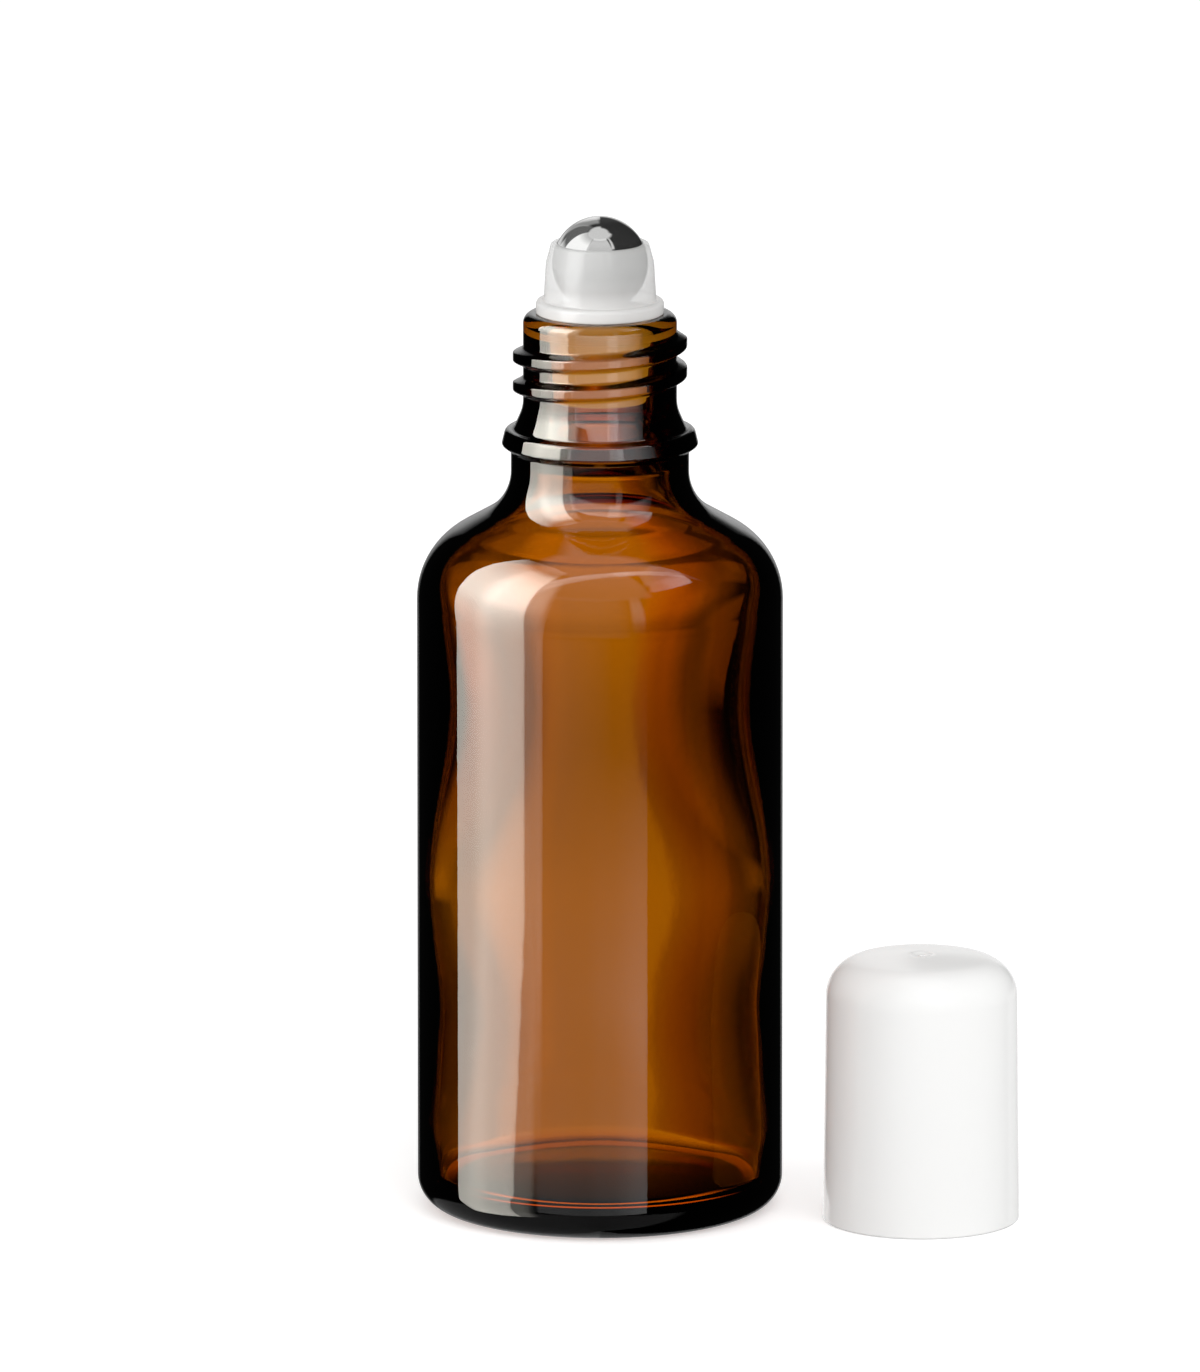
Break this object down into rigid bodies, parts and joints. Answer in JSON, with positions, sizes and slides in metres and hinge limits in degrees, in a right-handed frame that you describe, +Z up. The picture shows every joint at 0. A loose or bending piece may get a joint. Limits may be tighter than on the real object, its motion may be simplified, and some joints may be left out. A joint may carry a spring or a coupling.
{
  "type": "roll on bottle",
  "caption": "Round glass roll on bottle with a screw neck, a steel ball in a pressed-in plastic housing, and its screw cap standing beside it.",
  "frame": {"origin": "middle of the bottle's foot, on the surface that the bottle and its cap stand on", "axes": "+Z up along the bottle's axis; -Y is the side seen in the picture; the cap stands towards +X"},
  "size_m": [0.0609, 0.037, 0.102],
  "materials": {
    "amber_glass": "clear amber, fire polished",
    "natural_polyethylene": "translucent, satin moulded",
    "polished_steel": "mirror polished",
    "white_polypropylene": "glossy moulded"
  },
  "bodies": {
    "bottle_body": {"bottle": "amber_glass", "roller_housing": "natural_polyethylene"},
    "ball": {"roller_ball": "polished_steel"},
    "cap": {"cap": "white_polypropylene"}
  },
  "joints": [
    {"name": "ball_roll", "type": "hinge", "parent": "bottle_body", "child": "ball", "pos_m": [0, 0, 0.0972], "axis": [1, 0, 0], "continuous": true},
    {"name": "cap_lift", "type": "slide", "parent": "bottle_body", "child": "cap", "axis": [0, 0, 1], "range_m": [0, 0.104]}
  ]
}
